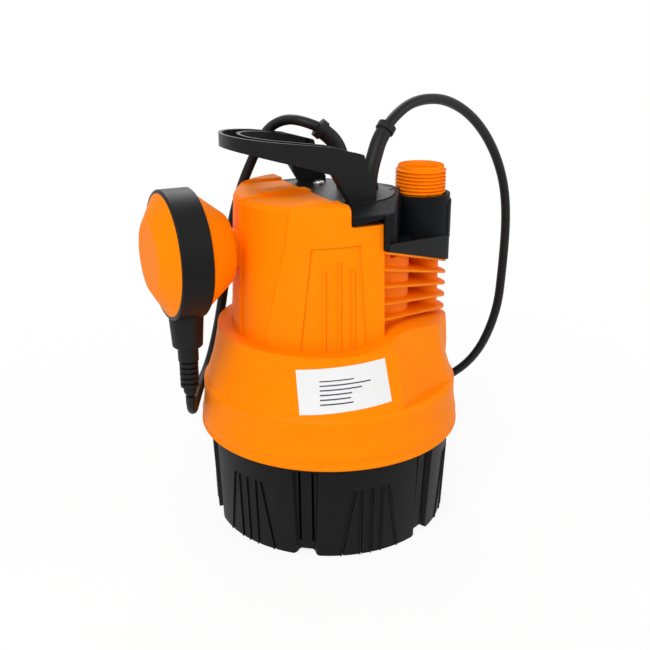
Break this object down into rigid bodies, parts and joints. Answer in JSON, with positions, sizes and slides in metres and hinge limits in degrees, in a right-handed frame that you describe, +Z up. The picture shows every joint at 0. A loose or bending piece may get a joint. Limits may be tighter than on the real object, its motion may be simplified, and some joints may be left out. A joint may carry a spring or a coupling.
{
  "type": "submersible sump pump",
  "caption": "Submersible sump pump with a threaded side outlet, slotted strainer base, carry handle, float switch in its holder and a coiled power cord.",
  "frame": {"origin": "the body axis at the level the base stands on", "axes": "+Z up along the body and the outlet, +X towards the outlet riser, the float switch on -X"},
  "size_m": [0.3023, 0.3224, 0.2706],
  "materials": {
    "base_black": "fine satin moulding",
    "screw_steel": "bright zinc",
    "seal_rubber": "smooth",
    "housing_orange": "satin moulding",
    "riser_orange": "satin moulding",
    "cover_black": "fine satin moulding",
    "handle_black": "fine satin moulding",
    "sleeve_rubber": "smooth",
    "cord_rubber": "smooth",
    "tie_plastic": "smooth",
    "plug_rubber": "moulded",
    "float_orange": "smooth",
    "band_black": "satin",
    "relief_rubber": "moulded",
    "switch_plastic": "smooth",
    "lever_steel": "bright",
    "cage_plastic": "smooth",
    "ball_steel": "polished",
    "plate_plastic": "moulded",
    "chamber_plastic": "moulded",
    "impeller_plastic": "moulded",
    "bracket_aluminium": "die cast",
    "bearing_steel": "ground",
    "can_steel": "drawn",
    "core_steel": "laminated",
    "winding_copper": "enamelled wire",
    "shaft_steel": "ground",
    "rotor_steel": "laminated",
    "capacitor_plastic": "smooth",
    "terminal_plastic": "smooth",
    "label_white": "printed film"
  },
  "bodies": {
    "pump": {"strainer_base": "base_black", "base_screws": "screw_steel", "base_seal_ring": "seal_rubber", "outer_housing": "housing_orange", "riser_pipe": "riser_orange", "top_cover": "cover_black", "carry_handle": "handle_black", "cover_screws": "screw_steel", "power_cable_sleeve": "sleeve_rubber", "float_cable_sleeve": "sleeve_rubber", "power_cord": "cord_rubber", "float_cable": "cord_rubber", "cord_coil": "cord_rubber", "coil_ties": "tie_plastic", "mains_plug": "plug_rubber", "suction_plate": "plate_plastic", "pump_chamber": "chamber_plastic", "oil_chamber": "bracket_aluminium", "shaft_seal": "seal_rubber", "lower_bracket": "bracket_aluminium", "lower_bearing": "bearing_steel", "upper_bracket": "bracket_aluminium", "upper_bearing": "bearing_steel", "motor_can": "can_steel", "stator_core": "core_steel", "stator_windings": "winding_copper", "capacitor": "capacitor_plastic", "terminal_block": "terminal_plastic", "rating_label": "label_white"},
    "rotor": {"motor_shaft": "shaft_steel", "rotor_core": "rotor_steel", "impeller": "impeller_plastic", "impeller_nut": "screw_steel"},
    "float": {"float_shell_outer": "float_orange", "float_shell_inner": "float_orange", "float_band": "band_black", "float_relief": "relief_rubber", "float_microswitch": "switch_plastic", "float_ball_cage": "cage_plastic"},
    "switch_lever": {"float_lever": "lever_steel"},
    "ball": {"float_ball": "ball_steel"}
  },
  "joints": [
    {"name": "rotor_spin", "type": "hinge", "parent": "pump", "child": "rotor", "pos_m": [0, 0, 0], "axis": [0, 0, 1], "continuous": true},
    {"name": "float_swing", "type": "hinge", "parent": "pump", "child": "float", "pos_m": [-0.097, 0, 0.0995], "axis": [0, -1, 0], "range_deg": [0, 75]},
    {"name": "ball_slide", "type": "slide", "parent": "float", "child": "ball", "axis": [0, 0, 1], "range_m": [0, 0.018]},
    {"name": "lever_press", "type": "hinge", "parent": "float", "child": "switch_lever", "pos_m": [-0.1036, 0, 0.16555], "axis": [0, -1, 0], "range_deg": [0, 6]}
  ],
  "couplings": [
    {"joint": "lever_press", "follows": "ball_slide", "rad_per_m": 5.8}
  ]
}
